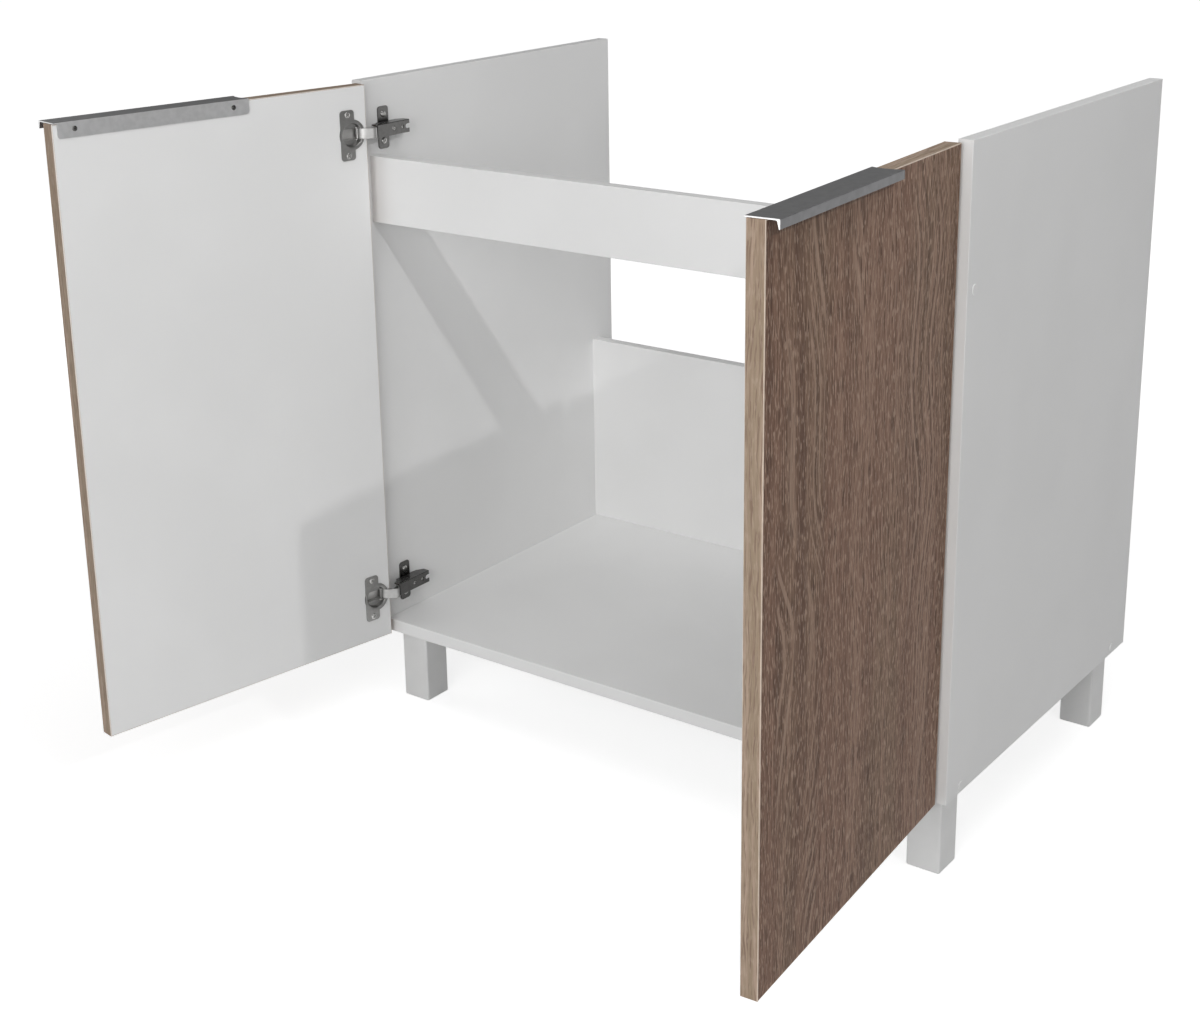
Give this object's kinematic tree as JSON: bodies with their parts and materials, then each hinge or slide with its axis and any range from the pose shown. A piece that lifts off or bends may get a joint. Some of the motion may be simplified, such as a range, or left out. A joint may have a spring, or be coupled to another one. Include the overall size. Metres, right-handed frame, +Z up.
{
  "type": "sink base cabinet",
  "caption": "Open-topped base cabinet on square legs for a sink, with wood-grain doors on concealed hinges and metal edge handles.",
  "frame": {"origin": "on the floor under the middle of the whole object with its doors open, as it stands at rest; the middle of the carcass front is at x 0.0211875, y -0.0438125", "axes": "+Z up, +Y towards the wall, +X to the right when facing the doors"},
  "size_m": [0.9025, 0.8924, 0.8],
  "materials": {
    "white_melamine": "satin white melamine on particle board, white edge banding",
    "oak_laminate": "matt dark oak laminate with vertical grain, white inside, edges banded in lighter brown",
    "satin_aluminium": "satin anodised",
    "nickel_steel": "bright nickel-plated pressed steel",
    "zinc_screw": "bright zinc-plated steel",
    "white_plastic": "matt white moulded plastic"
  },
  "bodies": {
    "carcass": {"left_side_panel": "white_melamine", "right_side_panel": "white_melamine", "bottom_panel": "white_melamine", "front_rail": "white_melamine", "back_panel": "white_melamine", "front_left_leg": "white_plastic", "rear_left_leg": "white_plastic", "front_right_leg": "white_plastic", "rear_right_leg": "white_plastic", "left_rail_screw": "zinc_screw", "left_bottom_front_screw": "zinc_screw", "left_bottom_rear_screw": "zinc_screw", "left_upper_mounting_plate": "nickel_steel", "left_upper_hinge_arm": "nickel_steel", "left_upper_plate_upper_screw": "zinc_screw", "left_upper_plate_lower_screw": "zinc_screw", "left_lower_mounting_plate": "nickel_steel", "left_lower_hinge_arm": "nickel_steel", "left_lower_plate_upper_screw": "zinc_screw", "left_lower_plate_lower_screw": "zinc_screw", "right_rail_screw": "zinc_screw", "right_bottom_front_screw": "zinc_screw", "right_bottom_rear_screw": "zinc_screw", "right_upper_mounting_plate": "nickel_steel", "right_upper_hinge_arm": "nickel_steel", "right_upper_plate_upper_screw": "zinc_screw", "right_upper_plate_lower_screw": "zinc_screw", "right_lower_mounting_plate": "nickel_steel", "right_lower_hinge_arm": "nickel_steel", "right_lower_plate_upper_screw": "zinc_screw", "right_lower_plate_lower_screw": "zinc_screw"},
    "left_outer_links": {"left_upper_outer_link": "nickel_steel", "left_lower_outer_link": "nickel_steel"},
    "left_inner_links": {"left_upper_inner_link": "nickel_steel", "left_lower_inner_link": "nickel_steel"},
    "left_door": {"left_door": "oak_laminate", "left_handle": "satin_aluminium", "left_handle_hinge_end_screw": "zinc_screw", "left_handle_free_end_screw": "zinc_screw", "left_upper_hinge_cup": "nickel_steel", "left_upper_cup_upper_screw": "zinc_screw", "left_upper_cup_lower_screw": "zinc_screw", "left_lower_hinge_cup": "nickel_steel", "left_lower_cup_upper_screw": "zinc_screw", "left_lower_cup_lower_screw": "zinc_screw"},
    "right_outer_links": {"right_upper_outer_link": "nickel_steel", "right_lower_outer_link": "nickel_steel"},
    "right_inner_links": {"right_upper_inner_link": "nickel_steel", "right_lower_inner_link": "nickel_steel"},
    "right_door": {"right_door": "oak_laminate", "right_handle": "satin_aluminium", "right_handle_hinge_end_screw": "zinc_screw", "right_handle_free_end_screw": "zinc_screw", "right_upper_hinge_cup": "nickel_steel", "right_upper_cup_upper_screw": "zinc_screw", "right_upper_cup_lower_screw": "zinc_screw", "right_lower_hinge_cup": "nickel_steel", "right_lower_cup_upper_screw": "zinc_screw", "right_lower_cup_lower_screw": "zinc_screw"}
  },
  "joints": [
    {"name": "left_link_pivot", "type": "hinge", "parent": "carcass", "child": "left_outer_links", "pos_m": [-0.35011, -0.03631, 0.44925], "axis": [0, 0, 1], "range_deg": [-27.94, 1.35]},
    {"name": "left_door_swing", "type": "hinge", "parent": "left_outer_links", "child": "left_door", "pos_m": [-0.3585, -0.0594, 0.44925], "axis": [0, 0, -1], "range_deg": [-128.34, 5.75]},
    {"name": "left_inner_link_pivot", "type": "hinge", "parent": "carcass", "child": "left_inner_links", "pos_m": [-0.35271, -0.03041, 0.44925], "axis": [0, 0, 1], "range_deg": [-40.3, 1.9]},
    {"name": "right_link_pivot", "type": "hinge", "parent": "carcass", "child": "right_outer_links", "pos_m": [0.39249, -0.03631, 0.44925], "axis": [0, 0, -1], "range_deg": [-26.14, 3.15]},
    {"name": "right_door_swing", "type": "hinge", "parent": "right_outer_links", "child": "right_door", "pos_m": [0.4016, -0.05913, 0.44925], "axis": [0, 0, 1], "range_deg": [-120.04, 14.05]},
    {"name": "right_inner_link_pivot", "type": "hinge", "parent": "carcass", "child": "right_inner_links", "pos_m": [0.39509, -0.03041, 0.44925], "axis": [0, 0, -1], "range_deg": [-37.7, 4.5]}
  ],
  "couplings": [
    {"joint": "left_link_pivot", "follows": "left_door_swing", "ratio": 0.21691},
    {"joint": "left_inner_link_pivot", "follows": "left_door_swing", "ratio": 0.31323},
    {"joint": "right_link_pivot", "follows": "right_door_swing", "ratio": 0.21691},
    {"joint": "right_inner_link_pivot", "follows": "right_door_swing", "ratio": 0.31323}
  ]
}
